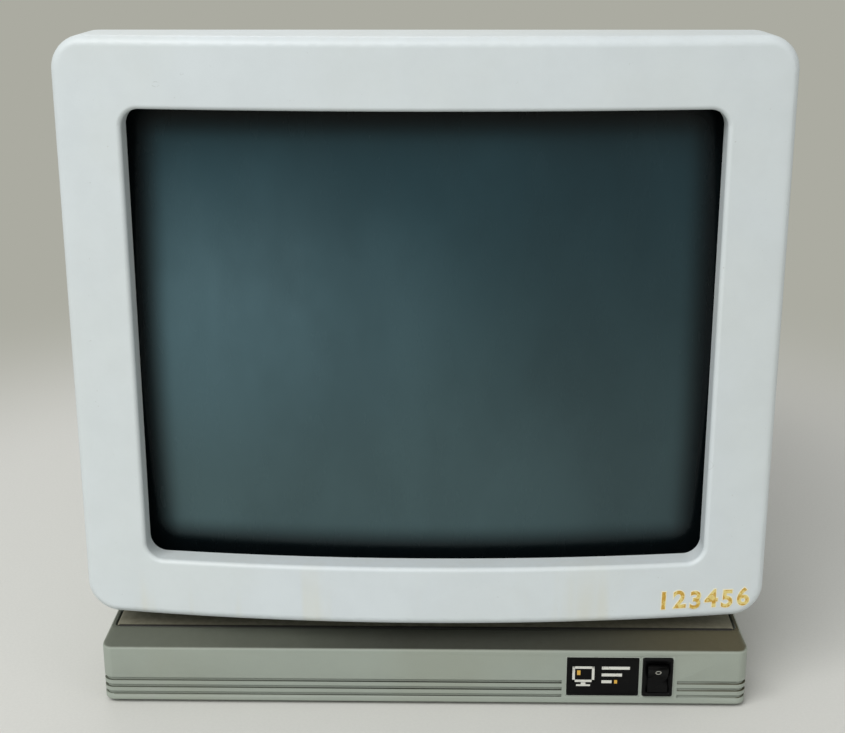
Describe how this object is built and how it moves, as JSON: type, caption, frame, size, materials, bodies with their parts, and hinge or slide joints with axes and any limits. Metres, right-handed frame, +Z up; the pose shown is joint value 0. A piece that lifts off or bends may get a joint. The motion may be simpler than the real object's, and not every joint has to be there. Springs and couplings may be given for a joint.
{
  "type": "computer terminal",
  "caption": "Desk-top computer terminal: a picture-tube monitor with a curved bezel that swivels and tilts on a low base with a rocker switch in its front.",
  "frame": {"origin": "on the desk under the middle of the whole object", "axes": "the screen looks towards -Y, +X is to the right of someone facing the screen, +Z is up"},
  "size_m": [0.3198, 0.315, 0.3127],
  "materials": {
    "bezel_plastic": "fine moulded grain, cool pale grey white",
    "case_plastic": "fine moulded grain, grey green",
    "cover_plastic": "fine moulded grain, warm beige",
    "black_plastic": "satin black",
    "dark_plastic": "matt black",
    "foot_rubber": "matt black rubber",
    "plated_steel": "zinc plated",
    "black_steel": "black oxide",
    "connector_shell": "tin plated",
    "contact_brass": "plain brass",
    "bare_aluminium": "mill finish",
    "board_laminate": "green solder mask",
    "brown_laminate": "bare brown laminate",
    "chip_black": "moulded black epoxy",
    "can_sleeve": "shrunk sleeve",
    "core_iron": "sintered and lacquered",
    "coil_copper": "enamelled copper wire",
    "screen_glass": "dark phosphor behind smooth glass",
    "tube_glass": "coated glass",
    "clear_glass": "clear glass",
    "cap_rubber": "red brown silicone rubber",
    "washer_fibre": "red fibre",
    "glide_plastic": "waxy white",
    "grey_plastic": "fine moulded grain"
  },
  "bodies": {
    "base": {"base_case": "case_plastic", "base_cover": "cover_plastic", "rubber_feet": "foot_rubber", "cover_screws": "plated_steel", "board_screws": "plated_steel", "badge_plate": "black_plastic", "switch_frame": "black_plastic", "switch_contacts": "dark_plastic", "rear_panel": "plated_steel", "mains_inlet": "dark_plastic", "inlet_pins": "contact_brass", "inlet_screws": "plated_steel", "host_port": "connector_shell", "printer_port": "connector_shell", "keyboard_jack": "dark_plastic", "logic_board": "board_laminate", "logic_chips": "chip_black", "clock_crystal": "bare_aluminium", "power_board": "brown_laminate", "power_transformer": "core_iron", "power_capacitors": "can_sleeve", "power_heat_sink": "bare_aluminium", "mains_fuse": "clear_glass", "glide_ring": "glide_plastic"},
    "swivel": {"swivel_yoke": "case_plastic", "retainer_ring": "plated_steel", "retainer_screws": "plated_steel"},
    "monitor": {"anode_cap": "cap_rubber", "bracket_screws": "plated_steel", "brightness_control": "grey_plastic", "deflection_yoke": "core_iron", "electron_gun": "bare_aluminium", "flyback_transformer": "black_plastic", "friction_washers": "washer_fibre", "front_bezel": "bezel_plastic", "housing_screws": "black_steel", "neck_board": "brown_laminate", "output_transistor": "chip_black", "rear_housing": "bezel_plastic", "rim_band": "plated_steel", "tilt_bracket": "plated_steel", "tilt_pins": "black_steel", "tube_face": "screen_glass", "tube_funnel": "tube_glass", "tube_neck": "clear_glass", "tube_screws": "plated_steel", "tube_socket": "grey_plastic", "video_board": "brown_laminate", "video_capacitors": "can_sleeve", "video_heat_sink": "bare_aluminium", "video_screws": "plated_steel", "yoke_clamp": "grey_plastic", "yoke_windings": "coil_copper"},
    "power_rocker": {"switch_rocker": "black_plastic"},
    "brightness_knob": {"brightness_wheel": "dark_plastic"}
  },
  "joints": [
    {"name": "swivel_turn", "type": "hinge", "parent": "base", "child": "swivel", "pos_m": [0, -0.005, 0.0351], "axis": [0, 0, 1], "range_deg": [-45, 45]},
    {"name": "monitor_tilt", "type": "hinge", "parent": "swivel", "child": "monitor", "pos_m": [0, -0.005, 0.058], "axis": [-1, 0, 0], "range_deg": [-2, 12]},
    {"name": "rocker_tip", "type": "hinge", "parent": "base", "child": "power_rocker", "pos_m": [0.1103, -0.1504, 0.0162], "axis": [1, 0, 0], "range_deg": [-18, 0]},
    {"name": "brightness_turn", "type": "hinge", "parent": "monitor", "child": "brightness_knob", "pos_m": [0.14515, -0.07, 0.084], "axis": [0, 0, 1], "range_deg": [0, 270]}
  ]
}
